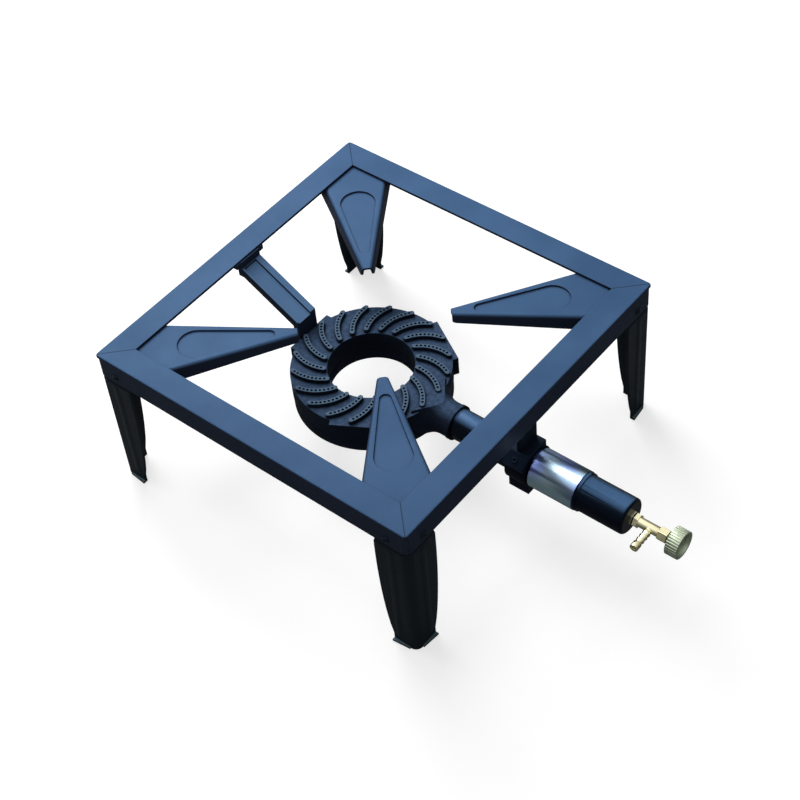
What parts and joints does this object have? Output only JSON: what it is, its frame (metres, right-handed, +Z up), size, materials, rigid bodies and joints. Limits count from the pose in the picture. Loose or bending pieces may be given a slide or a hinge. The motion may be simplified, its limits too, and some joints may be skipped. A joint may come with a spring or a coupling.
{
  "type": "gas burner stove",
  "caption": "Low square outdoor gas stove: angle-steel frame on pressed legs, diagonal pot supports, cast ring burner, front air mixer with chrome shutter and brass needle valve.",
  "frame": {"origin": "on the floor, under the middle of the whole stove's bounding box: half way between the knob's front face and the rear arm screws, and on the stove's centre line", "axes": "+Z up; +Y along the gas line from the control knob towards the rear rail; +X to the right for a user who stands at the knob and looks towards the burner"},
  "size_m": [0.407, 0.5742, 0.18],
  "materials": {
    "frame_paint": "gloss blue-black enamel, smooth",
    "leg_paint": "gloss blue-black enamel over pressed sheet",
    "burner_iron": "blue-black coated iron with a fine sand-cast grain",
    "tube_paint": "gloss blue-black enamel over steel pipe",
    "arm_paint": "gloss blue-black enamel over an iron casting",
    "collar_paint": "gloss blue-black enamel over an iron casting",
    "mixer_paint": "high gloss blue-black enamel",
    "screw_steel": "enamelled over steel, worn at the edges",
    "nut_steel": "zinc-plated steel",
    "shutter_chrome": "bright chrome plating",
    "valve_brass": "pale machined brass",
    "knob_metal": "satin cast metal with a greenish tone",
    "spindle_steel": "turned steel",
    "seal_rubber": "black rubber",
    "packing_fibre": "graphite fibre packing"
  },
  "bodies": {
    "frame": {"front_rail": "frame_paint", "right_rail": "frame_paint", "rear_rail": "frame_paint", "left_rail": "frame_paint", "front_left_leg": "leg_paint", "front_right_leg": "leg_paint", "rear_right_leg": "leg_paint", "rear_left_leg": "leg_paint", "leg_screws": "screw_steel", "leg_nuts": "nut_steel", "front_left_support": "frame_paint", "front_right_support": "frame_paint", "rear_right_support": "frame_paint", "rear_left_support": "frame_paint", "burner_head": "burner_iron", "burner_pan": "burner_iron", "pan_screws": "screw_steel", "rear_arm": "arm_paint", "arm_screws": "screw_steel", "arm_nuts": "nut_steel", "arm_bolt": "screw_steel", "mixing_tube": "tube_paint", "tube_collar": "collar_paint", "collar_set_screw": "screw_steel", "mixer_body": "mixer_paint", "injector": "valve_brass", "lock_nut": "valve_brass", "valve_seal_ring": "seal_rubber", "valve_body": "valve_brass", "gland_packing": "packing_fibre", "gland_nut": "valve_brass"},
    "air_shutter": {"air_shutter": "shutter_chrome"},
    "spindle": {"spindle": "spindle_steel"},
    "knob": {"control_knob": "knob_metal", "knob_screw": "nut_steel"}
  },
  "joints": [
    {"name": "shutter_turn", "type": "hinge", "parent": "frame", "child": "air_shutter", "pos_m": [0, -0.14535, 0.088], "axis": [0, -1, 0], "continuous": true},
    {"name": "spindle_travel", "type": "slide", "parent": "frame", "child": "spindle", "axis": [0, -1, 0], "range_m": [0, 0.0015]},
    {"name": "knob_turn", "type": "hinge", "parent": "spindle", "child": "knob", "pos_m": [0, -0.27415, 0.088], "axis": [0, -1, 0], "range_deg": [0, 540]}
  ],
  "couplings": [
    {"joint": "knob_turn", "follows": "spindle_travel", "rad_per_m": 6283.2}
  ]
}
